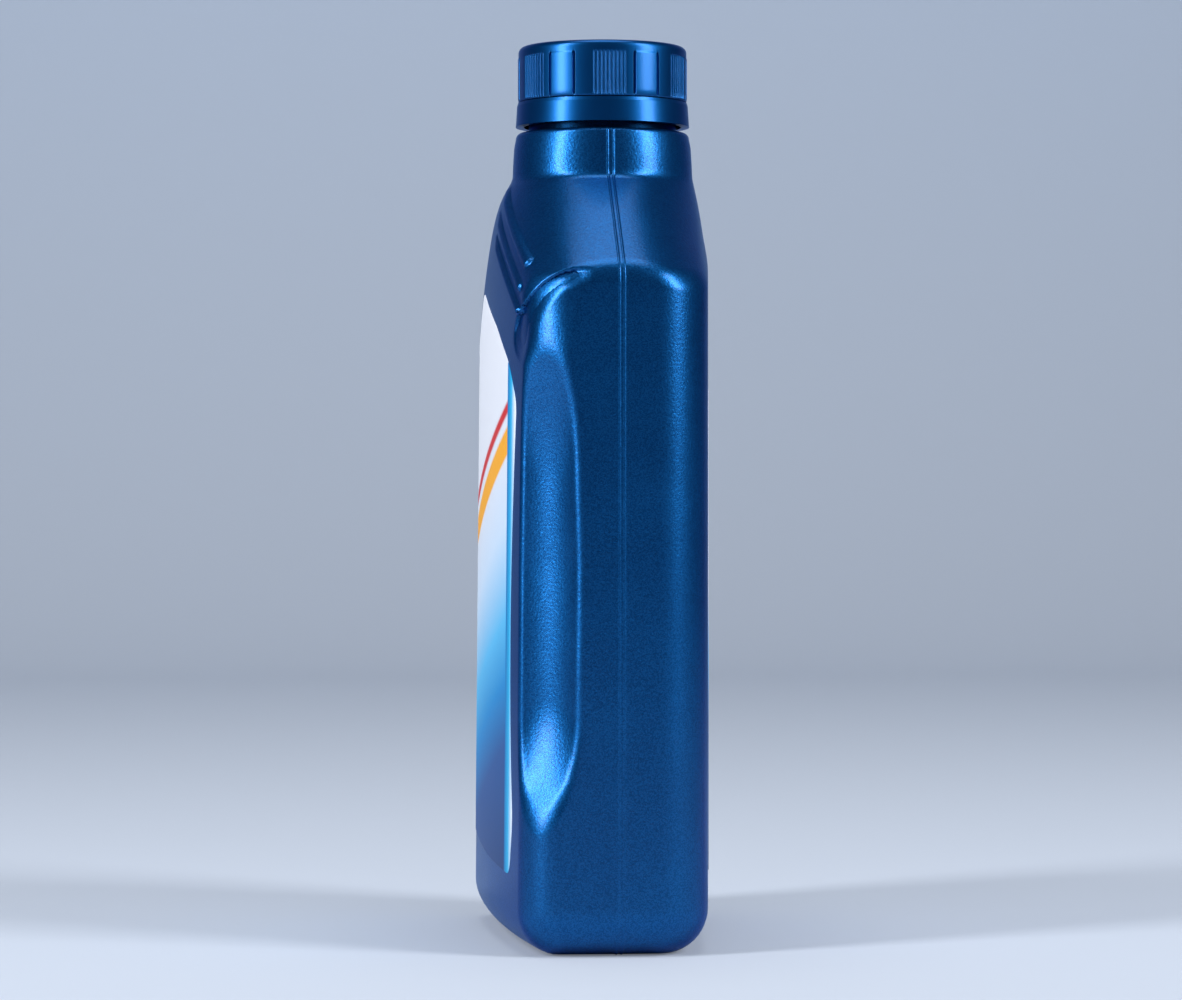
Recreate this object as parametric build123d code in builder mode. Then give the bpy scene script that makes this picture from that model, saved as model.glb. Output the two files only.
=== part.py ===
"""Motor oil bottle: a blown one-litre bottle with a screw cap, a tamper band, a liner and two labels.

Frame, in millimetres: +Z up along the neck, the origin under it on the surface that the bottle
stands on. The front label faces -Y, and the slim grip end of the body is at +X.
"""
from build123d import *
from math import cos, pi, radians, sin
import os

# ------------------------------------------------------------------ driving dimensions
# Body, seen from above: four bowed sides and four rounded corners.
body_width = 114.0            # along X
front_depth_near = 24.6       # how far the front's corner stands from the neck axis, grip end
front_depth_far = 31.35       # the same at the other end
back_depth_near = 21.9
back_depth_far = 32.9
front_bow = 3.0               # how far each side bows out of the line between its corners
back_bow = 0.8
end_bow = 1.2
corner_near = 11.5
corner_far = 14.0
least_corner = 3.0            # of an outline drawn far inside the skin

# Body, from the side.
body_top_z = 176.0            # where the two ends turn into the shoulder
front_lean = 1.5              # depth that the front loses on its way up to body_top_z
shoulder_rise = 10.0          # from there to where the front and back turn into the shoulder
shoulder_width = 90.0
shoulder_corner = 20.0
base_radius = 10.5            # round edge between the sides and the base
push_up_depth = 2.5           # shallow hollow under the base
foot_width = 4.0              # flat ring that the bottle stands on
wall = 1.0                    # blown wall
neck_wall = 2.0               # the neck is stiffer than the body

# Neck finish. Everything on the neck and in the cap is set from these two.
neck_radius = 19.3
neck_height = 20.3            # from the collar's top to the lip

# Screw thread, one start.
thread_pitch = 4.0
thread_height = 1.2           # how far a ridge stands off its wall
thread_width = 1.5            # at its crest
thread_root_width = 2.1
thread_length = 6.0           # from the first ridge's centre to the last one's
thread_clearance = 0.3        # between a crest and the wall across from it
thread_embed = 0.4            # how far a ridge is let into its own wall
thread_rise = 1.6             # from the bead to the first ridge

# Bead over the tamper band, and the plain ring under it.
bead_rise = 6.6               # from the collar's top to the bead's middle
bead_height = 1.5
bead_overhang = 2.2           # how far it stands off the neck
ring_overhang = 0.5
ring_height = 2.2

# Cap, liner and tamper band.
cap_drop = 12.0               # how far the cap's edge lies below the lip
thread_room = 0.5             # between the neck's crest and the cap's inside wall
cap_wall = 1.4
cap_plate = 1.6
cap_top_edge = 1.6
cap_plain_foot = 0.6          # plain height under the grip pattern
liner_clearance = 0.4
liner_thickness = 1.3
seat_gap = 0.1                # between the liner and what it faces
band_clearance = 0.4          # between the band and the bead
band_gap = 0.2                # torn line between the cap and the band
band_rise = 1.7               # from the collar's top to the band
band_chamfer = 0.9            # height of the slope from the cap's width to the band's
band_top_flare = 0.25         # how far the band stands out beyond the cap, above and below
band_bottom_flare = 0.6
band_hook = 0.8               # how far the band's hook reaches in under the bead
band_hook_height = 1.2
bridge_count = 12             # torn bridges left on top of the band
bridge_size = 0.5
bridge_height = 0.1

# Grip pattern round the cap.
grip_clusters = 6
grip_cluster_angle = 0.0      # the first cluster's middle, from +X towards +Y
rib_grooves = 9               # fine grooves in a cluster
rib_groove_pitch = 2.68       # degrees
rib_groove_radius = 0.32
slot_angles = (17.2, 35.3)    # pair of slots between two clusters, from a cluster's middle
slot_radius = 0.45
groove_end_drop = 0.1         # how far below the lip's level the grooves end

# Collar round the foot of the neck.
collar_rise = 16.0            # from the shoulder's edge to the collar's foot
collar_bend_rise = 4.7        # from its foot to the bend in its side
collar_height = 13.0
collar_edge = 1.4
collar_top_flare = 0.55       # how far the collar stands out beyond the cap: top, bend and foot
collar_bend_flare = 1.3
collar_base_flare = 1.6

# Grip scoop in the front corner of the grip end: a spindle turned about an upright axis.
scoop_axis_out = (7.6, 3.4)   # its axis beyond the body's end and beyond the front's near corner
scoop_bottom_z = 30.0
scoop_low_z = 54.0            # the full width starts here
scoop_middle_z = 86.0
scoop_high_drop = 36.0        # below body_top_z
scoop_top_drop = 6.0
scoop_end_radius = 10.3
scoop_low_radius = 18.2
scoop_middle_radius = 19.2
scoop_high_radius = 16.2

# Raised ribs across the front of the shoulder.
shoulder_ribs = 3
rib_start = (4.0, 23.5)       # upper end of the first rib: X, and height over body_top_z
rib_step = (0.5, -6.3)        # from one rib to the next
rib_length = 45.0
rib_tilt = -29.0              # degrees below level, towards the grip end
rib_width = 1.7
rib_height = 0.8

# Labels: thin skins in shallow recesses. Places are given from the body's two ends, from the
# surface it stands on, and down from body_top_z.
label_recess = 0.25
label_thickness = 0.15
label_margin = 0.4            # recess beyond the label's edge
front_label_peak = (35.0, 3.0)        # from the far end, below body_top_z
front_label_shoulder = (16.5, 34.0)   # from the grip end, below body_top_z
front_label_waist = (22.0, 84.0)      # from the grip end, above the base
front_label_foot = (17.5, 34.0)
front_label_tip = (21.0, 20.0)
front_label_far_margin = 13.0
front_label_far_top_drop = 18.0
front_label_far_bottom_z = 25.0
front_label_corner = 4.0
back_label_near_margin = 19.0
back_label_far_margin = 15.0
back_label_bottom_z = 20.0
back_label_top_drop = 30.0
back_label_corner = 6.0

# ------------------------------------------------------------------ worked out from them
body_end = body_width / 2
shoulder_z = body_top_z + shoulder_rise
collar_base_z = shoulder_z + collar_rise
collar_bend_z = collar_base_z + collar_bend_rise
collar_top_z = collar_base_z + collar_height
neck_top_z = collar_top_z + neck_height
neck_ring_z = collar_top_z + ring_height
bead_z = collar_top_z + bead_rise
cap_bottom_z = neck_top_z - cap_drop
band_bottom_z = collar_top_z + band_rise
groove_top_z = neck_top_z - groove_end_drop

neck_crest = neck_radius + thread_height
neck_bore_radius = neck_radius - neck_wall
neck_ring_radius = neck_radius + ring_overhang
bead_radius = neck_radius + bead_overhang
cap_bore_radius = neck_crest + thread_room + thread_clearance
cap_crest = neck_radius + thread_clearance
cap_radius = cap_bore_radius + cap_wall
liner_radius = cap_bore_radius - liner_clearance
band_bore_radius = bead_radius + band_clearance
band_top_radius = cap_radius + band_top_flare
band_bottom_radius = cap_radius + band_bottom_flare
collar_top_radius = cap_radius + collar_top_flare
collar_bend_radius = cap_radius + collar_bend_flare
collar_base_radius = cap_radius + collar_base_flare

neck_thread_z = bead_z + bead_height / 2 + thread_root_width / 2 + thread_rise
cap_thread_z = neck_thread_z + thread_pitch / 2
liner_bottom_z = neck_top_z + seat_gap
cap_ceiling_z = liner_bottom_z + liner_thickness + seat_gap

scoop_x = body_end + scoop_axis_out[0]
scoop_y = -front_depth_near - scoop_axis_out[1]
scoop_high_z = body_top_z - scoop_high_drop
scoop_top_z = body_top_z - scoop_top_drop


# ------------------------------------------------------------------ the body's form
def plan(z, inset, half_width, depths, bows, corners):
    """One level of the body, drawn `inset` inside the true skin: four bowed sides, rounded corners."""
    front_near, front_far, back_near, back_far = depths
    front, back, end = bows
    near_corner, far_corner = corners
    x_end = half_width - end - inset
    near_front = (x_end, -front_near + inset)
    far_front = (-x_end, -front_far + inset)
    far_back = (-x_end, back_far - inset)
    near_back = (x_end, back_near - inset)
    front_middle = (0, -(front_near + front_far) / 2 - front + inset)
    back_middle = (0, (back_near + back_far) / 2 + back - inset)
    with BuildSketch(Plane.XY.offset(z)) as level:
        with BuildLine():
            ThreePointArc(near_front, front_middle, far_front)
            ThreePointArc(far_front, (-half_width + inset, (back_far - front_far) / 2), far_back)
            ThreePointArc(far_back, back_middle, near_back)
            ThreePointArc(near_back, (half_width - inset, (back_near - front_near) / 2), near_front)
        make_face()
        ends = level.vertices().sort_by(Axis.X)
        fillet(ends[:2], max(far_corner - inset, least_corner))
        fillet(level.vertices().sort_by(Axis.X)[-2:], max(near_corner - inset, least_corner))
    return level.sketch


def base_plan(z, inset):
    """The body's full outline, as at its base."""
    depths = (front_depth_near, front_depth_far, back_depth_near, back_depth_far)
    return plan(z, inset, body_end, depths, (front_bow, back_bow, end_bow), (corner_near, corner_far))


def top_plan(z, inset):
    """The body's outline where its ends turn into the shoulder."""
    depths = (front_depth_near - front_lean, front_depth_far - front_lean, back_depth_near, back_depth_far)
    return plan(z, inset, body_end, depths, (front_bow, back_bow, end_bow), (corner_near, corner_far))


def shoulder_plan(z, inset):
    """The outline higher up, where the front and back turn into the shoulder."""
    depths = (front_depth_near - front_lean, front_depth_far - front_lean, back_depth_near, back_depth_far)
    return plan(
        z, inset, shoulder_width / 2, depths, (front_bow, back_bow, end_bow), (shoulder_corner, shoulder_corner)
    )


def collar_plan(z, inset):
    """The round top of the shoulder, in eight arcs that line up with the body's sides and corners."""
    radius = collar_base_radius - inset
    with BuildSketch(Plane.XY.offset(z)) as ring:
        with BuildLine():
            for side in range(4):
                CenterArc((0, 0), radius, side * 90 - 30, 60)
                CenterArc((0, 0), radius, side * 90 + 30, 30)
        make_face()
    return ring.sketch


def body_form(inset=0.0):
    """Solid body up to the collar, with its skin `inset` inside the bottle's outer skin."""
    with BuildPart() as form:
        add(base_plan(inset, inset))
        add(top_plan(body_top_z, inset))
        loft(ruled=True)
        fillet(form.faces().sort_by(Axis.Z)[0].edges(), base_radius - inset)
        add(top_plan(body_top_z, inset))
        add(shoulder_plan(shoulder_z, inset))
        loft(ruled=True)
        add(shoulder_plan(shoulder_z, inset))
        add(collar_plan(collar_base_z, inset))
        loft(ruled=True)
    return form.part


def front_label_outline(margin=0.0):
    """The front label's outline, seen from the front, drawn `margin` beyond its edge."""
    with BuildSketch(Plane.XZ) as outline:
        with BuildLine():
            far_x = -body_end + front_label_far_margin
            far_top = (far_x, body_top_z - front_label_far_top_drop)
            far_bottom = (far_x, front_label_far_bottom_z)
            peak = (-body_end + front_label_peak[0], body_top_z - front_label_peak[1])
            near_top = (body_end - front_label_shoulder[0], body_top_z - front_label_shoulder[1])
            waist = (body_end - front_label_waist[0], front_label_waist[1])
            near_foot = (body_end - front_label_foot[0], front_label_foot[1])
            tip = (body_end - front_label_tip[0], front_label_tip[1])
            Polyline(far_bottom, far_top, peak, near_top)
            ThreePointArc(near_top, waist, near_foot)
            Polyline(near_foot, tip, far_bottom)
        make_face()
        fillet(outline.vertices(), front_label_corner)
        if margin:
            offset(amount=margin)
    return outline.sketch


def back_label_outline(margin=0.0):
    """The back label's outline, drawn `margin` beyond its edge."""
    near_x = body_end - back_label_near_margin
    far_x = -body_end + back_label_far_margin
    top_z = body_top_z - back_label_top_drop
    middle = ((near_x + far_x) / 2, (back_label_bottom_z + top_z) / 2)
    width = near_x - far_x + 2 * margin
    height = top_z - back_label_bottom_z + 2 * margin
    with BuildSketch(Plane.XZ) as outline:
        with Locations(middle):
            RectangleRounded(width, height, back_label_corner + margin)
    return outline.sketch


def label_prism(outline, towards):
    """An outline carried straight out through the front (towards=1) or the back (-1) of the body."""
    with BuildPart() as prism:
        add(outline)
        extrude(amount=body_width, dir=(0, -towards, 0))
    return prism.part


def scoop_form(grow=0.0):
    """The spindle that is taken out of the grip end's front corner, larger by `grow`."""
    with BuildPart() as spindle:
        with BuildSketch(Plane.XZ.offset(-scoop_y)) as half:
            with BuildLine():
                side = Spline(
                    (scoop_x - scoop_end_radius - grow, scoop_bottom_z - grow),
                    (scoop_x - scoop_low_radius - grow, scoop_low_z),
                    (scoop_x - scoop_middle_radius - grow, scoop_middle_z),
                    (scoop_x - scoop_high_radius - grow, scoop_high_z),
                    (scoop_x - scoop_end_radius - grow, scoop_top_z + grow),
                )
                Polyline(side @ 1, (scoop_x, scoop_top_z + grow), (scoop_x, scoop_bottom_z - grow), side @ 0)
            make_face()
        revolve(axis=Axis((scoop_x, scoop_y, 0), (0, 0, 1)))
    return spindle.part


def push_up_form(grow=0.0):
    """The shallow hollow under the base, wider and deeper by `grow` for the wall above it."""
    with BuildPart() as hollow:
        add(base_plan(0, base_radius + foot_width - grow))
        extrude(amount=push_up_depth + grow)
    return hollow.part


def shoulder_rib_bands():
    """Slanting bands through the front of the shoulder, one for each raised rib."""
    with BuildPart() as bands:
        with BuildSketch(Plane.XZ):
            for rib in range(shoulder_ribs):
                start_x = rib_start[0] + rib * rib_step[0]
                start_z = body_top_z + rib_start[1] + rib * rib_step[1]
                tilt = radians(rib_tilt)
                middle = (start_x + rib_length / 2 * cos(tilt), start_z + rib_length / 2 * sin(tilt))
                with Locations(middle):
                    SlotOverall(rib_length, rib_width, rotation=rib_tilt)
        extrude(amount=body_width)
    return bands.part


# ------------------------------------------------------------------ screw threads
def thread_ridge(wall_radius, crest_radius, bottom_z):
    """One helical ridge from a wall to its crest; inward if the crest is the smaller radius."""
    outward = 1 if crest_radius > wall_radius else -1
    root = wall_radius - outward * thread_embed
    with BuildPart() as ridge:
        with BuildLine():
            path = Helix(thread_pitch, thread_length, wall_radius, center=(0, 0, bottom_z))
        with BuildSketch(Plane.XZ):
            with BuildLine():
                Polyline(
                    (root, bottom_z - thread_root_width / 2),
                    (crest_radius, bottom_z - thread_width / 2),
                    (crest_radius, bottom_z + thread_width / 2),
                    (root, bottom_z + thread_root_width / 2),
                    close=True,
                )
            make_face()
        sweep(path=path, is_frenet=True)
    return ridge.part


# ------------------------------------------------------------------ bottle body
with BuildPart() as bottle_body:
    add(body_form())
    add(scoop_form(), mode=Mode.SUBTRACT)
    # Raised ribs: the bands' share of a slightly larger body.
    with BuildPart(mode=Mode.PRIVATE) as ribs:
        add(body_form(-rib_height))
        add(shoulder_rib_bands(), mode=Mode.INTERSECT)
        add(scoop_form(-rib_height), mode=Mode.SUBTRACT)
    add(ribs.part)
    # Recesses for the labels.
    for outline, towards in ((front_label_outline(label_margin), 1), (back_label_outline(label_margin), -1)):
        with BuildPart(mode=Mode.PRIVATE) as recess:
            add(label_prism(outline, towards))
            add(body_form(label_recess), mode=Mode.SUBTRACT)
        add(recess.part, mode=Mode.SUBTRACT)
    add(push_up_form(), mode=Mode.SUBTRACT)
    # Collar, ring and neck, turned round the Z axis.
    with BuildSketch(Plane.XZ):
        with BuildLine():
            Polyline(
                (0, collar_base_z - wall),
                (collar_base_radius, collar_base_z - wall),
                (collar_base_radius, collar_base_z),
                (collar_bend_radius, collar_bend_z),
                (collar_top_radius, collar_top_z - collar_edge),
                (collar_top_radius - collar_edge, collar_top_z),
                (neck_ring_radius, collar_top_z),
                (neck_ring_radius, neck_ring_z),
                (neck_radius, neck_ring_z + neck_ring_radius - neck_radius),
                (neck_radius, neck_top_z),
                (0, neck_top_z),
                close=True,
            )
        make_face()
    revolve(axis=Axis.Z)
    # Bead over the tamper band, sloped above so that the band slides on.
    with BuildSketch(Plane.XZ):
        with BuildLine():
            Polyline(
                (neck_radius - thread_embed, bead_z - bead_height / 2),
                (bead_radius, bead_z - bead_height / 2),
                (bead_radius, bead_z),
                (neck_radius, bead_z + bead_height / 2),
                (neck_radius - thread_embed, bead_z + bead_height / 2),
                close=True,
            )
        make_face()
    revolve(axis=Axis.Z)
    add(thread_ridge(neck_radius, neck_crest, neck_thread_z))
    # The inside: the body's form one wall in, and the bore up through the neck.
    with BuildPart(mode=Mode.PRIVATE) as inside:
        add(body_form(wall + label_recess))
        add(scoop_form(wall), mode=Mode.SUBTRACT)
        add(push_up_form(wall), mode=Mode.SUBTRACT)
        with BuildSketch(Plane.XY.offset(collar_base_z - wall)):
            Circle(neck_bore_radius)
        extrude(amount=neck_top_z - collar_base_z + 2 * wall)
    add(inside.part, mode=Mode.SUBTRACT)
bottle_body.part.label = "bottle_body"

# ------------------------------------------------------------------ labels
with BuildPart() as front_label:
    add(label_prism(front_label_outline(), 1))
    add(body_form(label_recess - label_thickness), mode=Mode.INTERSECT)
    add(body_form(label_recess), mode=Mode.SUBTRACT)
front_label.part.label = "front_label"

with BuildPart() as back_label:
    add(label_prism(back_label_outline(), -1))
    add(body_form(label_recess - label_thickness), mode=Mode.INTERSECT)
    add(body_form(label_recess), mode=Mode.SUBTRACT)
back_label.part.label = "back_label"

# ------------------------------------------------------------------ tamper band
with BuildPart() as tamper_band:
    band_top_z = cap_bottom_z - band_gap
    with BuildSketch(Plane.XZ):
        with BuildLine():
            Polyline(
                (band_bore_radius, band_top_z),
                (cap_radius, band_top_z),
                (band_top_radius, band_top_z - band_chamfer),
                (band_bottom_radius, band_bottom_z),
                (band_bore_radius - band_hook, band_bottom_z),
                (band_bore_radius - band_hook, band_bottom_z + band_hook_height),
                (band_bore_radius, band_bottom_z + band_hook_height + band_hook),
                close=True,
            )
        make_face()
    revolve(axis=Axis.Z)
    bridge_ring_radius = (band_bore_radius + band_top_radius) / 2
    with BuildSketch(Plane.XY.offset(band_top_z)):
        with PolarLocations(bridge_ring_radius, bridge_count):
            Rectangle(bridge_size, bridge_size)
    extrude(amount=bridge_height)
tamper_band.part.label = "tamper_band"

# ------------------------------------------------------------------ screw cap
with BuildPart() as screw_cap:
    with BuildSketch(Plane.XZ):
        with BuildLine():
            Polyline(
                (0, cap_ceiling_z),
                (cap_bore_radius, cap_ceiling_z),
                (cap_bore_radius, cap_bottom_z),
                (cap_radius, cap_bottom_z),
                (cap_radius, cap_ceiling_z + cap_plate),
                (0, cap_ceiling_z + cap_plate),
                close=True,
            )
        make_face()
    revolve(axis=Axis.Z)
    fillet(screw_cap.edges().group_by(Axis.Z)[-1], cap_top_edge)
    # Grip: clusters of fine grooves, with a pair of deeper slots between them.
    groove_bottom_z = cap_bottom_z + cap_plain_foot
    groove_height = groove_top_z - groove_bottom_z
    for cluster in range(grip_clusters):
        middle = grip_cluster_angle + cluster * 360 / grip_clusters
        first = middle - (rib_grooves - 1) / 2 * rib_groove_pitch
        grooves = [(first + groove * rib_groove_pitch, rib_groove_radius) for groove in range(rib_grooves)]
        grooves += [(middle + angle, slot_radius) for angle in slot_angles]
        for angle, radius in grooves:
            foot = (cap_radius * cos(radians(angle)), cap_radius * sin(radians(angle)), groove_bottom_z)
            with Locations(foot):
                Cylinder(
                    radius, groove_height, align=(Align.CENTER, Align.CENTER, Align.MIN), mode=Mode.SUBTRACT
                )
    add(thread_ridge(cap_bore_radius, cap_crest, cap_thread_z))
screw_cap.part.label = "screw_cap"

with BuildPart() as cap_liner:
    with BuildSketch(Plane.XY.offset(liner_bottom_z)):
        Circle(liner_radius)
    extrude(amount=liner_thickness)
cap_liner.part.label = "cap_liner"

# ------------------------------------------------------------------ files
os.makedirs("parts", exist_ok=True)
for piece in (bottle_body, screw_cap, cap_liner, tamper_band, front_label, back_label):
    export_step(piece.part, f"parts/{piece.part.label}.step")
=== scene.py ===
"""Motor oil bottle: the look of the bottle, its cap and its labels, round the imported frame."""
from math import cos, radians, sin

import bmesh
import bpy
import numpy as np
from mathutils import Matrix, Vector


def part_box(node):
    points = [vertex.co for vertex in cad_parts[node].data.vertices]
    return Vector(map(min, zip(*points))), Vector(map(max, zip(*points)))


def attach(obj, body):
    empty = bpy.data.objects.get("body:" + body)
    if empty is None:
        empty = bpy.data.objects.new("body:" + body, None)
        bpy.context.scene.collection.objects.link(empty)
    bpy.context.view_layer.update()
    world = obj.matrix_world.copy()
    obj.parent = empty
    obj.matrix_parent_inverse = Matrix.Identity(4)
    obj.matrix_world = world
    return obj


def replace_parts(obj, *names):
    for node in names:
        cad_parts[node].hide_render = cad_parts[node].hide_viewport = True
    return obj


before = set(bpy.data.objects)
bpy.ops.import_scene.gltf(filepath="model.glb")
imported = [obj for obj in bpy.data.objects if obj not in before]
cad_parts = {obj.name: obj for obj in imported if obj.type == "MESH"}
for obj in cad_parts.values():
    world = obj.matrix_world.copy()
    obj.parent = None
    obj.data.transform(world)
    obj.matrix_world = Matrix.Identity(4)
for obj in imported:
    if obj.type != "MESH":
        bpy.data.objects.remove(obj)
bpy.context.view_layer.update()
scene = bpy.context.scene
MM = 0.001

# ------------------------------------------------------------------ sizes, in millimetres
HALF_WIDTH = float(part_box("bottle_body")[1][0]) / MM
cap_low, cap_high = (np.array(corner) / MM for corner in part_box("screw_cap"))

FRONT_NEAR, FRONT_FAR, FRONT_BOW = 24.6, 31.35, 3.0
BACK_NEAR, BACK_FAR, BACK_BOW = 21.9, 32.9, 0.8
END_BOW = 1.2
FRONT_LEAN = 1.5
BODY_TOP_Z = 176.0
CORNER_FRONT_NEAR, CORNER_BACK_NEAR, CORNER_FAR = 9.0, 13.0, 14.0
BASE_RADIUS = 11.5
SHOULDER_EDGE = 3.0
COLLAR_BASE_Z, COLLAR_BEND_Z, COLLAR_TOP_Z = 202.2, 206.7, 215.0
COLLAR_BASE_R, COLLAR_BEND_R, COLLAR_TOP_R = 24.3, 24.0, 23.25
COLLAR_EDGE = 1.5
RING_R = 19.8
WALL, BORE_R = 1.0, 17.3
FOOT_WIDTH = 4.0
PUSH_UP = 2.2

SCOOP_X, SCOOP_Y = 70.5, -32.2
SCOOP_Z = (20, 50, 100, 140, 160, 180)
SCOOP_R = (24.6, 25.0, 25.4, 24.6, 23.4, 21.5)
CORNER_POINT, CORNER_FACING = (54.95, -23.45), (0.812, -0.584)
SCOOP_LOW_Z, SCOOP_LOW_SLOPE = 28.0, 0.28      # the scoop's floor runs out to the corner at both ends
SCOOP_HIGH_Z, SCOOP_HIGH_SLOPE = 173.0, 0.20
GROOVE_Y, GROOVE_Z = -8.8, 158.6      # middle of the arch over the scoop, in the end view
GROOVE_OUTER, GROOVE_FLOOR, GROOVE_CREST = 17.7, 16.5, 12.2
GROOVE_DEPTH = 1.9

RIBS = 3
RIB_START = (4.0, 199.5)
RIB_STEP = (0.5, -6.3)
RIB_LENGTH, RIB_WIDTH, RIB_HEIGHT = 45.0, 1.8, 1.3
RIB_TILT = radians(-29)

SEAM_SPREAD, SEAM_WIDTH, SEAM_HEIGHT = 0.64, 0.26, 0.16
SEAM_REACH = 20               # radius at which the seams' spread is measured on the collar


# ------------------------------------------------------------------ the body as one function
def round_and(a, b, radius):
    """Inside both a and b, with their meeting edge rounded to a true radius."""
    inner = np.minimum(-radius, np.maximum(a, b))
    return inner + np.hypot(np.maximum(radius + a, 0), np.maximum(radius + b, 0))


def smooth_step(low, high, value):
    t = np.clip((value - low) / (high - low), 0, 1)
    return t * t * (3 - 2 * t)


def bowed(x, near, far, bow):
    """Depth of a bowed side at x, from its two ends' depths."""
    t = x / HALF_WIDTH
    return (near + far) / 2 + (near - far) / 2 * t + bow * (1 - t * t)


def sides(x, y, z):
    lean = FRONT_LEAN * np.clip(z / BODY_TOP_Z, 0, 1.1)
    front = -y - (bowed(x, FRONT_NEAR, FRONT_FAR, FRONT_BOW) - lean)
    back = y - bowed(x, BACK_NEAR, BACK_FAR, BACK_BOW)
    bow = END_BOW * (y / 24) ** 2
    near = x - (HALF_WIDTH - bow)
    far = -x - (HALF_WIDTH - bow)
    near_part = round_and(round_and(near, front, CORNER_FRONT_NEAR), back, CORNER_BACK_NEAR)
    far_part = round_and(round_and(far, front, CORNER_FAR), back, CORNER_FAR)
    return np.maximum(near_part, far_part)


def shoulder(x, y, z):
    """A round neck base that spreads into the body, far more along X than along Y."""
    drop = COLLAR_BASE_Z - z
    fall = np.clip(drop, 0, 60)
    wide = COLLAR_BASE_R + 1.258 * drop
    front = COLLAR_BASE_R + 0.60 * drop - 0.0094 * fall * fall + 0.0094 * np.clip(fall - 16, 0, 60) ** 2
    back = COLLAR_BASE_R + 0.20 * drop + 0.02 * np.clip(fall - 14, 0, 60) ** 2
    deep = front + (back - front) * smooth_step(-6, 6, y)
    power = 2 + 0.2 * smooth_step(0, 24, drop)
    ratio = ((np.abs(x) / wide) ** power + (np.abs(y) / deep) ** power) ** (1 / power)
    steep = 0.62 + 0.3 * np.clip(np.abs(y) / (np.hypot(x, y) + 1e-6), 0, 1)
    return (ratio - 1) * np.hypot(x, y) / np.maximum(ratio, 1e-6) * steep


def scoop_cut(x, y, z):
    """Negative inside the grip scoop: an upright round trough whose floor rises at both ends."""
    radius = np.interp(z, SCOOP_Z, SCOOP_R)
    trough = np.hypot(x - SCOOP_X, y - SCOOP_Y) - radius
    out = CORNER_FACING[0] * (x - CORNER_POINT[0]) + CORNER_FACING[1] * (y - CORNER_POINT[1])
    depth = np.minimum(SCOOP_LOW_SLOPE * (z - SCOOP_LOW_Z), SCOOP_HIGH_SLOPE * (SCOOP_HIGH_Z - z))
    return round_and(trough, -out - depth, 3.0)


def rib_bump(x, y, z):
    """Height of the three slanting ribs across the front of the shoulder."""
    along_x, along_z = cos(RIB_TILT), sin(RIB_TILT)
    bump = np.zeros_like(x)
    for rib in range(RIBS):
        dx = x - (RIB_START[0] + rib * RIB_STEP[0])
        dz = z - (RIB_START[1] + rib * RIB_STEP[1])
        t = np.clip(dx * along_x + dz * along_z, RIB_WIDTH / 2, RIB_LENGTH - RIB_WIDTH / 2)
        off = np.hypot(dx - t * along_x, dz - t * along_z) / (RIB_WIDTH * 0.62)
        fade = smooth_step(0, 9, t)
        bump = np.maximum(bump, np.sqrt(np.clip(1 - off ** 2, 0, 1)) * (0.35 + 0.65 * fade))
    return np.where(y < -6, bump * RIB_HEIGHT, 0)


def arch_groove(x, y, z):
    """Depth of the crescent groove that arches over the scoop's upper end."""
    across, up = y - GROOVE_Y, z - GROOVE_Z
    out = np.hypot(across, up)
    wall = 1 - smooth_step(GROOVE_OUTER - 0.8, GROOVE_OUTER, out)
    ramp_up = smooth_step(GROOVE_CREST, GROOVE_FLOOR, out)
    turn = np.degrees(np.arctan2(up, -across))
    fade = smooth_step(-28, 8, turn) * (1 - smooth_step(72, 98, turn))
    fade = fade * smooth_step(33, 45, x)
    return np.where(y < GROOVE_Y + 6, GROOVE_DEPTH * wall * ramp_up * fade, 0)


def seam_bump(y):
    """Two hair lines where the halves of the mould met."""
    off = (np.abs(y) - SEAM_SPREAD) / SEAM_WIDTH
    return SEAM_HEIGHT * np.exp(-off * off)


def skin(x, y, z, detail=True):
    """Signed height over the outer skin of the body, up to the collar."""
    form = round_and(sides(x, y, z), shoulder(x, y, z), SHOULDER_EDGE)
    if detail:
        form = form - rib_bump(x, y, z) + arch_groove(x, y, z)
    form = round_and(form, -scoop_cut(x, y, z), 1.2 + 7 * smooth_step(150, 172, z))
    form = round_and(form, -z, BASE_RADIUS)
    if detail:
        form = form - seam_bump(y)
    return form


def solve_radius(theta, z, detail=True, depth=0.0):
    """Distance from the neck axis to the skin, or to a given depth under it, by halving."""
    low, high = np.full_like(theta, 5.0), np.full_like(theta, 75.0)
    ct, st = np.cos(theta), np.sin(theta)
    for _ in range(34):
        middle = (low + high) / 2
        outside = skin(middle * ct, middle * st, z, detail) > -depth
        high = np.where(outside, middle, high)
        low = np.where(outside, low, middle)
    return (low + high) / 2


def spaced(stops):
    """Values from a list of (start, step) pairs, ending at the last start."""
    values = []
    for (start, step), (end, _) in zip(stops, stops[1:]):
        count = max(int(round((end - start) / step)), 1)
        values += list(start + (end - start) * np.arange(count) / count)
    return np.array(values)


def column_angles():
    """Columns round the bottle, closer together where the skin has small features."""
    stops = [(-180, 0.3), (-178, 1.9), (-85, 0.5), (-40, 0.42), (-2.2, 0.13)]
    stops += [(2.2, 0.7), (25, 1.9), (178, 0.3), (180, 1)]
    return np.radians(spaced(stops))


def row_heights():
    """Rows up the bottle; the first ones follow the base's round edge."""
    turn = np.radians(np.linspace(4, 90, 12))
    base = BASE_RADIUS * (1 - np.cos(turn))
    stops = [(BASE_RADIUS + 1.2, 1.8), (28, 0.8), (45, 2.4), (138, 0.9), (150, 0.52), (COLLAR_BASE_Z, 1)]
    return np.concatenate([base, spaced(stops)])


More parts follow.
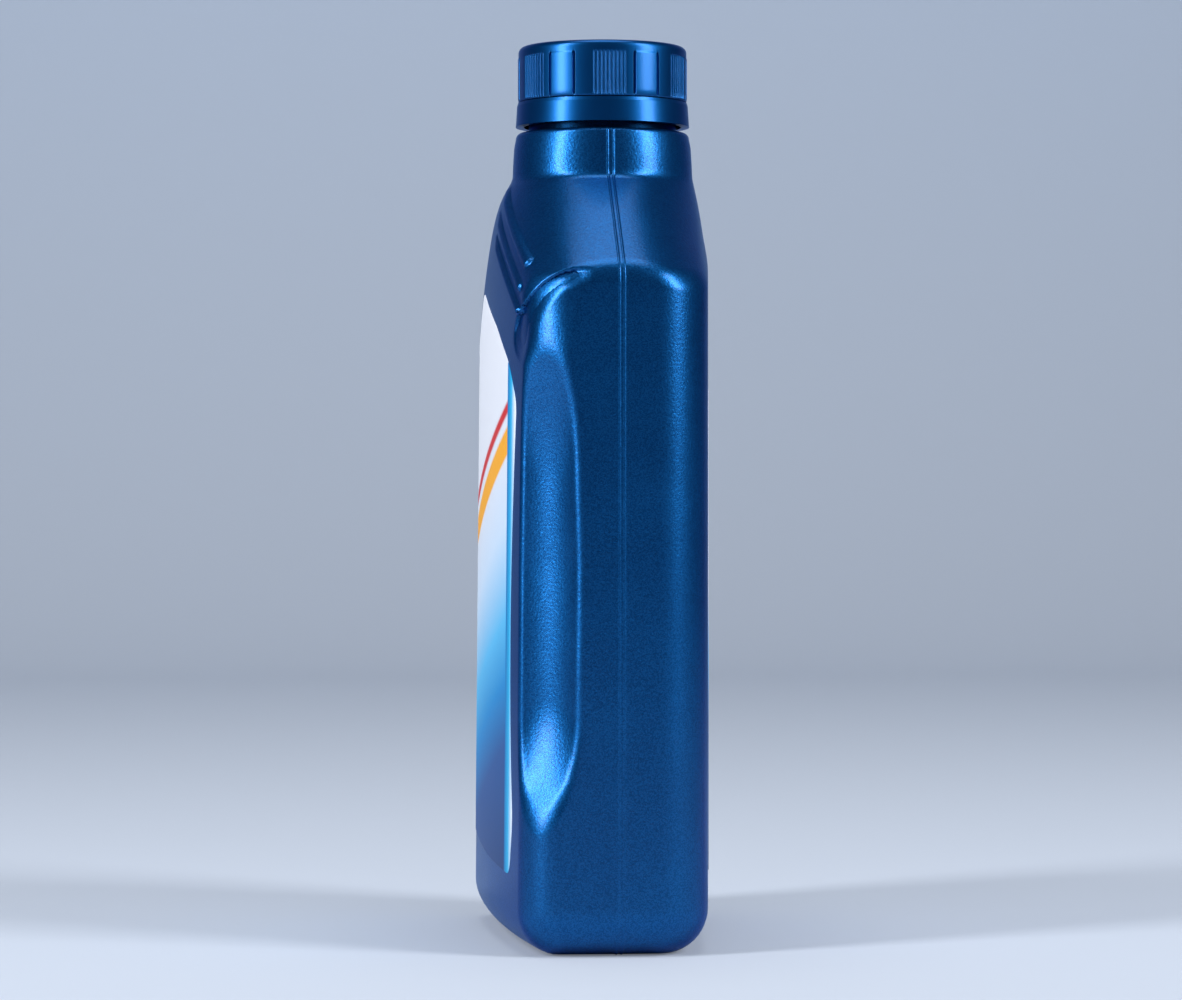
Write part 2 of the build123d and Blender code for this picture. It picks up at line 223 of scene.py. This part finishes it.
# ------------------------------------------------------------------ meshes
def mesh_object(name, vertices, faces, material, body):
    """A smooth piece from vertices in millimetres; it rides with a body and has a material slot."""
    mesh = bpy.data.meshes.new(name)
    mesh.from_pydata([tuple(v) for v in np.asarray(vertices) * MM], [], faces)
    mesh.materials.append(material)
    mesh.shade_smooth()
    piece = bpy.data.objects.new(name, mesh)
    scene.collection.objects.link(piece)
    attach(piece, body)
    return piece


def soften(mesh, first_cad_vertex, angle):
    """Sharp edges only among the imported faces, whose numbers follow those of the fine grid."""
    mesh.set_sharp_from_angle(angle=radians(angle))
    ends = np.empty(len(mesh.edges) * 2, dtype=int)
    mesh.edges.foreach_get("vertices", ends)
    sharp = np.empty(len(mesh.edges), dtype=bool)
    mesh.edges.foreach_get("use_edge_sharp", sharp)
    sharp &= ends.reshape(-1, 2).min(axis=1) >= first_cad_vertex
    mesh.edges.foreach_set("use_edge_sharp", sharp)


def ring_faces(rows, columns, start=0):
    """Quads of a closed tube of vertex rows."""
    faces = []
    for row in range(rows - 1):
        low, high = start + row * columns, start + (row + 1) * columns
        for column in range(columns):
            after = (column + 1) % columns
            faces.append((low + column, low + after, high + after, high + column))
    return faces


def body_rows():
    """Vertex rows of the outer skin, from the middle of the base to the plain ring of the neck."""
    theta = column_angles()
    ct, st = np.cos(theta), np.sin(theta)
    heights = row_heights()
    grid_theta, grid_z = np.meshgrid(theta, heights)
    radius = solve_radius(grid_theta, grid_z)
    rows = []
    foot = radius[0]
    for share, lift in ((0.02, PUSH_UP), (0.4, PUSH_UP), (0.8, PUSH_UP)):
        rows.append((foot * share, np.full_like(foot, lift)))
    for inset, lift in ((3.2, PUSH_UP), (2.2, PUSH_UP * 0.85), (1.2, PUSH_UP * 0.35), (0.5, 0.1), (0, 0)):
        rows.append((foot - FOOT_WIDTH - inset, np.full_like(foot, lift)))
    rows.append((foot - 1.5, np.zeros_like(foot)))
    rows += [(radius[i], np.full_like(foot, heights[i])) for i in range(len(heights))]
    # The collar is round: a short cove out of the shoulder, then a slow taper to its rounded top.
    seam = seam_bump(SEAM_REACH * st)
    profile = [(COLLAR_BASE_R - 0.12, COLLAR_BASE_Z + 0.7), (COLLAR_BASE_R - 0.2, COLLAR_BASE_Z + 1.8)]
    profile += [(COLLAR_BEND_R, COLLAR_BEND_Z), ((COLLAR_BEND_R + COLLAR_TOP_R) / 2 + 0.1, 211)]
    for turn in np.radians(np.linspace(0, 90, 7)):
        around = COLLAR_TOP_R - COLLAR_EDGE * (1 - cos(turn))
        profile.append((around, COLLAR_TOP_Z - COLLAR_EDGE * (1 - sin(turn))))
    for around, height in profile:
        rows.append((around + seam, np.full_like(foot, height)))
    rows.append((np.full_like(foot, RING_R + 0.35), np.full_like(foot, COLLAR_TOP_Z)))
    rows.append((np.full_like(foot, RING_R - 0.4), np.full_like(foot, COLLAR_TOP_Z - 0.3)))
    return [np.stack([around * ct, around * st, height], axis=1) for around, height in rows], len(theta)


def inner_rows():
    """Vertex rows of the blown wall's inner face, up to the foot of the neck's bore."""
    theta = np.radians(np.arange(0, 360, 2.5))
    ct, st = np.cos(theta), np.sin(theta)
    low_heights = [PUSH_UP + 1.1, 4.5, 6.5, 9]
    heights = np.concatenate([low_heights, np.linspace(12, 150, 24), np.linspace(153, 201, 26)])
    grid_theta, grid_z = np.meshgrid(theta, heights)
    radius = solve_radius(grid_theta, grid_z, detail=False, depth=WALL)
    rows = [(radius[0] * 0.02, heights[0]), (radius[0] * 0.6, heights[0])]
    rows += list(zip(radius, heights))
    rows.append((np.full_like(theta, BORE_R + 3), COLLAR_BASE_Z - 0.6))
    rows.append((np.full_like(theta, BORE_R), COLLAR_BASE_Z - 0.1))
    return [
        np.stack([around * ct, around * st, np.full_like(ct, height)], axis=1) for around, height in rows
    ]


def packed_faces(node, keep, first=0):
    """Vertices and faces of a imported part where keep(radius, height) is true; numbers start at first."""
    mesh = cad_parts[node].data
    points = np.empty(len(mesh.vertices) * 3)
    mesh.vertices.foreach_get("co", points)
    points = points.reshape(-1, 3) / MM
    faces = [tuple(face.vertices) for face in mesh.polygons]
    middles = np.array([points[list(face)].mean(axis=0) for face in faces])
    chosen = keep(np.hypot(middles[:, 0], middles[:, 1]), middles[:, 2])
    kept = [faces[i] for i in np.nonzero(chosen)[0]]
    used = sorted({vertex for face in kept for vertex in face})
    order = {vertex: place + first for place, vertex in enumerate(used)}
    return points[used], [tuple(order[vertex] for vertex in face) for face in kept]


def neck_or_bore(around, height):
    """The bottle's neck, thread and bore, which no grid row replaces."""
    neck = (height > COLLAR_TOP_Z - 0.2) & (around < COLLAR_TOP_R - COLLAR_EDGE - 0.5)
    bore = (height > COLLAR_BASE_Z - 0.1) & (around < BORE_R + 0.5)
    return neck | bore


def build_body(material, neck_shade_material):
    """The bottle's outer skin and inner wall as two grids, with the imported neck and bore."""
    rows, columns = body_rows()
    outer = np.concatenate(rows)
    faces = ring_faces(len(rows), columns)
    faces.append(tuple(reversed(range(columns))))
    inner = inner_rows()
    turned = [tuple(reversed(face)) for face in ring_faces(len(inner), len(inner[0]), start=len(outer))]
    faces += turned
    faces.append(tuple(range(len(outer), len(outer) + len(inner[0]))))
    grids = np.concatenate([outer, *inner])
    neck, neck_faces = packed_faces("bottle_body", neck_or_bore, first=len(grids))
    first_neck_face = len(faces)
    faces += neck_faces
    piece = mesh_object("bottle_skin", np.concatenate([grids, neck]), faces, material, "bottle")
    # The neck and bore get a darker, duller blue than the body: painted shade, so the gap under the band
    # reads dark.
    piece.data.materials.append(neck_shade_material)
    for face in piece.data.polygons[first_neck_face:]:
        face.material_index = 1
    soften(piece.data, len(grids), 50)
    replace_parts(piece, "bottle_body")
    return piece


# ------------------------------------------------------------------ cap
CAP_R = float(cap_high[0])
CAP_TOP, CAP_BOTTOM = float(cap_high[2]), float(cap_low[2])
CAP_EDGE = 1.7
CLUSTERS, CLUSTER_ANGLE = 6, 0.0
FINE_RIBS, FINE_PITCH = 8, 2.68       # ribs in a cluster, degrees from one to the next
FINE_SHARE = 0.27                     # half a rib's width, of the pitch
FINE_DEPTH, SLOT_DEPTH, PANEL_RAISE = 0.3, 0.65, 0.12
SLOTS, SLOT_HALF_ANGLE = (17.2, 35.3), 1.05
GROOVE_TOP = 235.3
CAP_INSIDE_R, CAP_CEILING = 21.75, 236.95
CAP_COLUMNS = 2160
SECTOR = 360 / CLUSTERS               # degrees that one cluster and its slots take up


def grip_relief(angle, z):
    """Radial height of the cap's grip pattern at an angle in degrees and a height."""
    turn = (angle - CLUSTER_ANGLE + SECTOR / 2) % SECTOR - SECTOR / 2
    low_end = smooth_step(CAP_BOTTOM + 0.25, CAP_BOTTOM + 0.9, z)
    half = (FINE_RIBS / 2) * FINE_PITCH
    place = (turn + half) / FINE_PITCH
    ripple = np.sqrt(np.clip(1 - ((place - np.round(place)) / FINE_SHARE) ** 2, 0, 1))
    fine_top = 1 - smooth_step(GROOVE_TOP - 0.5, GROOVE_TOP, z)
    fine = np.where(np.abs(turn) < half + FINE_PITCH / 4, (1 - ripple) * FINE_DEPTH * fine_top, 0)
    relief = -fine
    for slot in SLOTS:
        away = np.where(turn < slot - SECTOR * 0.75, turn + SECTOR, turn) - slot
        across = away / SLOT_HALF_ANGLE
        end = GROOVE_TOP - 0.5 * across ** 2
        cut = np.clip(1 - across ** 2, 0, 1) ** 0.5 * (1 - smooth_step(end - 0.5, end, z))
        relief = relief - np.where(np.abs(across) < 1, cut * SLOT_DEPTH, 0)
    folded = np.where(turn < 0, turn + SECTOR, turn)
    first, last = SLOTS
    panel = smooth_step(first, first + 1, folded) * (1 - smooth_step(last - 1, last, folded))
    return (relief + PANEL_RAISE * panel * fine_top) * low_end


def cap_inside(around, height):
    """The cap's inner wall, thread and ceiling."""
    return (around < CAP_INSIDE_R - 0.3) & (height < CAP_CEILING)


def build_cap(material):
    """The cap's outside as one fine grid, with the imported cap's own inside and thread."""
    angle = np.arange(CAP_COLUMNS) * 360 / CAP_COLUMNS
    turn = np.radians(angle)
    ct, st = np.cos(turn), np.sin(turn)
    wall = CAP_R - PANEL_RAISE
    levels = [(CAP_INSIDE_R - 0.5, CAP_BOTTOM), (wall - 0.25, CAP_BOTTOM), (wall, CAP_BOTTOM + 0.2)]
    levels += [(wall, height) for height in (CAP_BOTTOM + 0.5, CAP_BOTTOM + 0.9, CAP_BOTTOM + 2)]
    levels += [(wall, height) for height in np.linspace(CAP_BOTTOM + 4, GROOVE_TOP - 1.2, 5)]
    levels += [(wall, height) for height in np.linspace(GROOVE_TOP - 0.9, GROOVE_TOP + 0.1, 7)]
    for step in np.radians(np.linspace(0, 84, 9)):
        levels.append((wall - CAP_EDGE * (1 - cos(step)), CAP_TOP - 0.25 - CAP_EDGE * (1 - sin(step))))
    levels += [(wall * share, CAP_TOP - 0.24 * share ** 2) for share in (0.88, 0.8, 0.6, 0.35, 0.1)]
    rows = []
    for around, height in levels:
        relief = grip_relief(angle, np.full_like(angle, height)) if around > wall - 0.6 else 0
        reach = around + relief
        rows.append(np.stack([reach * ct, reach * st, np.full_like(ct, height)], axis=1))
    faces = ring_faces(len(rows), CAP_COLUMNS)
    faces.append(tuple(range((len(rows) - 1) * CAP_COLUMNS, len(rows) * CAP_COLUMNS)))
    outer = np.concatenate(rows)
    inside, inside_faces = packed_faces("screw_cap", cap_inside, first=len(outer))
    faces += inside_faces
    piece = mesh_object("cap_shell", np.concatenate([outer, inside]), faces, material, "cap")
    soften(piece.data, len(outer), 48)
    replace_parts(piece, "screw_cap")
    return piece


# ------------------------------------------------------------------ labels
def arc_points(a, b, c, count):
    """Points on the curve through a, b and c, as a parabola over the chord."""
    t = np.linspace(0, 1, count)[:, None]
    a, b, c = map(np.array, (a, b, c))
    control = 2 * b - (a + c) / 2
    return (1 - t) ** 2 * a + 2 * t * (1 - t) * control + t ** 2 * c


def rounded_outline(corners, radius, steps=7):
    """A closed outline whose corners are cut by short smooth curves."""
    points = []
    count = len(corners)
    for i in range(count):
        before, here, after = (np.array(corners[(i + k) % count], float) for k in (-1, 0, 1))
        back, ahead = before - here, after - here
        reach = min(radius, np.linalg.norm(back) / 2, np.linalg.norm(ahead) / 2)
        start = here + back / np.linalg.norm(back) * reach
        end = here + ahead / np.linalg.norm(ahead) * reach
        points += list(arc_points(start, (start + 2 * here + end) / 4, end, steps))
    return np.array(points)


def front_outline():
    waist = arc_points((40.5, 142), (35, 84), (39.5, 34), 9)
    corners = [(-22, 173.5), (10, 162.5), (30, 152.5), *waist, (36, 19.5), (0, 21.5)]
    corners += [(-44, 25), (-44, 158)]
    return rounded_outline(corners, 4.0)


def back_outline():
    return rounded_outline([(38, 146), (38, 20), (-42, 20), (-42, 146)], 7.0)


def build_label(name, outline, side, material):
    """A film over the skin: rings from the outline to its middle, with a turned-down edge."""
    dense = []
    for a, b in zip(outline, np.roll(outline, -1, axis=0)):
        count = max(int(np.linalg.norm(b - a) / 2.5), 1)
        dense += [a + (b - a) * k / count for k in range(count)]
    dense = np.array(dense)
    middle = (dense.max(axis=0) + dense.min(axis=0)) / 2
    rings = [(1.0, -0.1), (0.9985, 0.1), (0.994, 0.14)]
    rings += [(share, 0.14) for share in np.linspace(0.94, 0.03, 22)]
    vertices = []
    for share, lift in rings:
        flat = middle + (dense - middle) * share
        x, z = flat.T
        low, high = np.zeros_like(x), np.full_like(x, 45.0)
        for _ in range(30):
            half = (low + high) / 2
            outside = skin(x, side * half, z, False) > 0
            high = np.where(outside, half, high)
            low = np.where(outside, low, half)
        vertices.append(np.stack([x, side * (half + lift), z], axis=1))
    columns = len(dense)
    faces = ring_faces(len(rings), columns)
    faces.append(tuple(range((len(rings) - 1) * columns, len(rings) * columns)))
    piece = mesh_object(name, np.concatenate(vertices), faces, material, "bottle")
    mesh = piece.data
    work = bmesh.new()
    work.from_mesh(mesh)
    bmesh.ops.recalc_face_normals(work, faces=work.faces)
    if sum(face.normal.y for face in work.faces) * side < 0:
        bmesh.ops.reverse_faces(work, faces=work.faces)
    work.to_mesh(mesh)
    work.free()
    return piece


# ------------------------------------------------------------------ materials
def node_material(name):
    material = bpy.data.materials.new(name)
    material.use_nodes = True
    tree = material.node_tree
    return material, tree.nodes, tree.links, tree.nodes["Principled BSDF"]


def noise(nodes, links, scale, detail=2.0, kind="ShaderNodeTexNoise"):
    """A texture in the object's own coordinates."""
    where = nodes.new("ShaderNodeTexCoord")
    texture = nodes.new(kind)
    texture.inputs["Scale"].default_value = scale
    if "Detail" in texture.inputs:
        texture.inputs["Detail"].default_value = detail
    links.new(where.outputs["Object"], texture.inputs["Vector"])
    return texture


def ramp(nodes, stops):
    node = nodes.new("ShaderNodeValToRGB")
    band = node.color_ramp
    while len(band.elements) < len(stops):
        band.elements.new(0.5)
    for element, (place, colour) in zip(band.elements, stops):
        element.position = place
        element.color = (*colour, 1)
    return node


def pearl_plastic(name, base=(0.0015, 0.070, 0.235), bright=(0.006, 0.11, 0.34), grain=0.30, sheen=0.25):
    """Moulded plastic with fine mica in it: a satin metallic sheen, tiny flakes, a faint grain."""
    material, nodes, links, shader = node_material(name)
    flakes = noise(nodes, links, 3600, kind="ShaderNodeTexVoronoi")
    spread = ramp(nodes, [(0.0, base), (0.72, base), (1.0, bright)])
    links.new(flakes.outputs["Color"], spread.inputs["Fac"])
    cloud = noise(nodes, links, 45, 3)
    mix = nodes.new("ShaderNodeMix")
    mix.data_type = "RGBA"
    mix.blend_type = "MULTIPLY"
    mix.inputs["Factor"].default_value = 1.0
    tone = ramp(nodes, [(0.3, (0.86, 0.88, 0.9)), (0.7, (1.0, 1.0, 1.0))])
    links.new(cloud.outputs["Fac"], tone.inputs["Fac"])
    links.new(spread.outputs["Color"], mix.inputs["A"])
    links.new(tone.outputs["Color"], mix.inputs["B"])
    links.new(mix.outputs["Result"], shader.inputs["Base Color"])
    shader.inputs["Metallic"].default_value = 0.9
    shader.inputs["Specular Tint"].default_value = (0.10, 0.42, 0.85, 1)
    rough = nodes.new("ShaderNodeMapRange")
    rough.inputs["To Min"].default_value = 0.29
    rough.inputs["To Max"].default_value = 0.37
    links.new(cloud.outputs["Fac"], rough.inputs["Value"])
    links.new(rough.outputs["Result"], shader.inputs["Roughness"])
    shader.inputs["Coat Weight"].default_value = sheen
    shader.inputs["Coat Roughness"].default_value = 0.2
    shader.inputs["Coat IOR"].default_value = 1.45
    fine = noise(nodes, links, 1500, 2)
    bump = nodes.new("ShaderNodeBump")
    bump.inputs["Strength"].default_value = grain
    bump.inputs["Distance"].default_value = 0.0002
    links.new(fine.outputs["Fac"], bump.inputs["Height"])
    links.new(bump.outputs["Normal"], shader.inputs["Normal"])
    return material


def label_film(name, stops, stripe):
    """Printed film: a colour that runs down the label, a soft sweep through it, and an edge stripe."""
    material, nodes, links, shader = node_material(name)
    where = nodes.new("ShaderNodeTexCoord")
    parts = nodes.new("ShaderNodeSeparateXYZ")
    links.new(where.outputs["Object"], parts.inputs["Vector"])
    sweep = nodes.new("ShaderNodeMath")
    sweep.operation = "MULTIPLY_ADD"
    sweep.inputs[1].default_value = -0.35
    links.new(parts.outputs["X"], sweep.inputs[0])
    links.new(parts.outputs["Z"], sweep.inputs[2])
    down = nodes.new("ShaderNodeMapRange")
    down.inputs["From Min"].default_value = 0.01
    down.inputs["From Max"].default_value = 0.175
    links.new(sweep.outputs["Value"], down.inputs["Value"])
    colours = ramp(nodes, stops)
    links.new(down.outputs["Result"], colours.inputs["Fac"])
    edge = nodes.new("ShaderNodeMapRange")
    edge.inputs["From Min"].default_value = stripe[0]
    edge.inputs["From Max"].default_value = stripe[1]
    links.new(parts.outputs["X"], edge.inputs["Value"])
    edge_stops = [(0.0, (0.0, 0.16, 0.45)), (0.45, (0.02, 0.45, 0.8))]
    edge_stops += [(0.8, (0.75, 0.85, 0.95)), (0.93, (0.9, 0.92, 0.95))]
    edge_colours = ramp(nodes, edge_stops)
    links.new(edge.outputs["Result"], edge_colours.inputs["Fac"])
    inside_edge = nodes.new("ShaderNodeMath")
    inside_edge.operation = "GREATER_THAN"
    inside_edge.inputs[1].default_value = stripe[0]
    links.new(parts.outputs["X"], inside_edge.inputs[0])
    mix = nodes.new("ShaderNodeMix")
    mix.data_type = "RGBA"
    links.new(inside_edge.outputs["Value"], mix.inputs["Factor"])
    links.new(colours.outputs["Color"], mix.inputs["A"])
    links.new(edge_colours.outputs["Color"], mix.inputs["B"])
    links.new(mix.outputs["Result"], shader.inputs["Base Color"])
    shader.inputs["Roughness"].default_value = 0.5
    shader.inputs["Specular IOR Level"].default_value = 0.18
    fibre = noise(nodes, links, 700, 2)
    bump = nodes.new("ShaderNodeBump")
    bump.inputs["Strength"].default_value = 0.05
    bump.inputs["Distance"].default_value = 0.0001
    links.new(fibre.outputs["Fac"], bump.inputs["Height"])
    links.new(bump.outputs["Normal"], shader.inputs["Normal"])
    return material


def liner_foam():
    """Off-white foam with fine cells."""
    material, nodes, links, shader = node_material("liner_foam")
    cells = noise(nodes, links, 1400, kind="ShaderNodeTexVoronoi")
    tone = ramp(nodes, [(0.0, (0.72, 0.72, 0.70)), (1.0, (0.84, 0.84, 0.82))])
    links.new(cells.outputs["Distance"], tone.inputs["Fac"])
    links.new(tone.outputs["Color"], shader.inputs["Base Color"])
    shader.inputs["Roughness"].default_value = 0.75
    return material


PAPER_GLOW = 0.2
PAPER_LOW, PAPER_HIGH = (0.62, 0.68, 0.78), (0.60, 0.69, 0.83)


def backdrop_paint(name, low, high):
    """Plain studio paper, a little bluer higher up."""
    material, nodes, links, shader = node_material(name)
    where = nodes.new("ShaderNodeNewGeometry")
    parts = nodes.new("ShaderNodeSeparateXYZ")
    links.new(where.outputs["Position"], parts.inputs["Vector"])
    height = nodes.new("ShaderNodeMapRange")
    height.inputs["From Min"].default_value = 0.0
    height.inputs["From Max"].default_value = 0.5
    links.new(parts.outputs["Z"], height.inputs["Value"])
    tone = ramp(nodes, [(0.0, low), (1.0, high)])
    links.new(height.outputs["Result"], tone.inputs["Fac"])
    links.new(tone.outputs["Color"], shader.inputs["Base Color"])
    shader.inputs["Roughness"].default_value = 0.9
    shader.inputs["Specular IOR Level"].default_value = 0.1
    # Seen directly, the paper also carries a share of its own even tone.
    ray = nodes.new("ShaderNodeLightPath")
    share = nodes.new("ShaderNodeMath")
    share.operation = "MULTIPLY"
    share.inputs[1].default_value = PAPER_GLOW
    links.new(ray.outputs["Is Camera Ray"], share.inputs[0])
    glow = nodes.new("ShaderNodeEmission")
    links.new(tone.outputs["Color"], glow.inputs["Color"])
    mixed = nodes.new("ShaderNodeMixShader")
    links.new(share.outputs["Value"], mixed.inputs["Fac"])
    links.new(shader.outputs["BSDF"], mixed.inputs[1])
    links.new(glow.outputs["Emission"], mixed.inputs[2])
    links.new(mixed.outputs["Shader"], nodes["Material Output"].inputs["Surface"])
    return material


# ------------------------------------------------------------------ the object
blue = pearl_plastic("pearl_blue_body")
cap_tone = (0.0015, 0.074, 0.25)
cap_blue = pearl_plastic("pearl_blue_cap", base=cap_tone, bright=cap_tone, grain=0.0)
# Painted shade: a near-black blue for the neck and bore, which sit in the shaded gap under the band.
painted_shade_neck_blue = pearl_plastic(
    "neck_painted_shade", base=(0.001, 0.012, 0.04), bright=(0.001, 0.015, 0.05), sheen=0.0
)
build_body(blue, painted_shade_neck_blue)
NAVY, DEEP_BLUE, PALE = (0.012, 0.05, 0.18), (0.02, 0.09, 0.3), (0.76, 0.80, 0.88)
ORANGE, RED = (0.95, 0.42, 0.02), (0.62, 0.02, 0.02)
FRONT_STRIPE, BACK_STRIPE = (0.029, 0.041), (0.2, 0.3)    # metres along X; the second lies off the label

front_stops = [(0.0, NAVY), (0.2, DEEP_BLUE), (0.3, (0.01, 0.25, 0.6)), (0.4, (0.1, 0.5, 0.85))]
front_stops += [(0.55, (0.62, 0.76, 0.92)), (0.655, (0.74, 0.79, 0.88))]
front_stops += [(0.66, ORANGE), (0.70, ORANGE), (0.705, PALE), (0.72, PALE), (0.725, RED), (0.74, RED)]
front_stops += [(0.745, (0.80, 0.82, 0.88))]
back_stops = [(0.0, NAVY), (0.22, DEEP_BLUE), (0.32, (0.1, 0.4, 0.75)), (0.42, (0.62, 0.66, 0.78))]
front_film = label_film("front_film", front_stops, FRONT_STRIPE)
back_film = label_film("back_film", back_stops, BACK_STRIPE)
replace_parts(build_label("front_film_sheet", front_outline(), -1, front_film), "front_label")
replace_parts(build_label("back_film_sheet", back_outline(), 1, back_film), "back_label")


def dress(node, material):
    """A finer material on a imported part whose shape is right."""
    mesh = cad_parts[node].data
    mesh.materials.clear()
    mesh.materials.append(material)


build_cap(cap_blue)
dress("tamper_band", cap_blue)
dress("cap_liner", liner_foam())


# ------------------------------------------------------------------ studio
def backdrop():
    """Floor that curves up into a wall behind the bottle, seen from the grip end."""
    bend, far, near, wide, tall, steps = 0.5, -1.9, 2.6, 3.2, 2.4, 16
    profile = [(near, 0.0)]
    for turn in np.linspace(0, np.pi / 2, steps):
        profile.append((far + bend - bend * np.sin(turn), bend * (1 - np.cos(turn))))
    profile.append((far, tall))
    vertices = [(x, side * wide, z) for x, z in profile for side in (-1, 1)]
    faces = [(2 * i, 2 * i + 1, 2 * i + 3, 2 * i + 2) for i in range(len(profile) - 1)]
    mesh = bpy.data.meshes.new("backdrop")
    mesh.from_pydata(vertices, [], faces)
    mesh.shade_smooth()
    mesh.materials.append(backdrop_paint("backdrop_paint", PAPER_LOW, PAPER_HIGH))
    paper = bpy.data.objects.new("backdrop", mesh)
    scene.collection.objects.link(paper)


def softbox(name, azimuth, distance, height, size, power):
    """An upright rectangular lamp; azimuth is from +X towards +Y, in degrees."""
    lamp = bpy.data.lights.new(name, "AREA")
    lamp.shape = "RECTANGLE"
    lamp.size, lamp.size_y = size
    lamp.energy = power
    box = bpy.data.objects.new(name, lamp)
    turn = radians(azimuth)
    box.location = (distance * cos(turn), distance * sin(turn), height)
    box.rotation_euler = (radians(90), 0, turn + radians(90))
    scene.collection.objects.link(box)
    return box


CAMERA_TURN = 5.1             # degrees from +X towards -Y
CAMERA_DISTANCE = 1.07
CAMERA_HEIGHT = 0.122
SENSOR = 36.0                 # millimetres, with the lens
LENS = 121.218
SHIFT = (-0.009645, -0.016920)

camera_data = bpy.data.cameras.new("camera")
camera_data.sensor_width = SENSOR
camera_data.lens = LENS
camera_data.shift_x, camera_data.shift_y = SHIFT
camera_data.clip_end = 30
camera = bpy.data.objects.new("camera", camera_data)
camera.location = (
    CAMERA_DISTANCE * cos(radians(CAMERA_TURN)), -CAMERA_DISTANCE * sin(radians(CAMERA_TURN)), CAMERA_HEIGHT
)
camera.rotation_euler = (radians(90), 0, radians(90 - CAMERA_TURN))
scene.collection.objects.link(camera)
scene.camera = camera

backdrop()
softbox("softbox_front", -62, 1.1, 0.80, (0.22, 1.25), 16)
softbox("softbox_back", 58, 1.1, 0.88, (0.34, 1.15), 15)
softbox("overhead", 0, 0.0, 1.9, (1.1, 1.1), 11).rotation_euler = (0, 0, 0)

world = bpy.data.worlds.new("world")
scene.world = world
world.use_nodes = True
sky = world.node_tree.nodes["Background"]
sky.inputs["Color"].default_value = (0.36, 0.55, 0.86, 1)
sky.inputs["Strength"].default_value = 0.13

scene.view_settings.view_transform = "Standard"

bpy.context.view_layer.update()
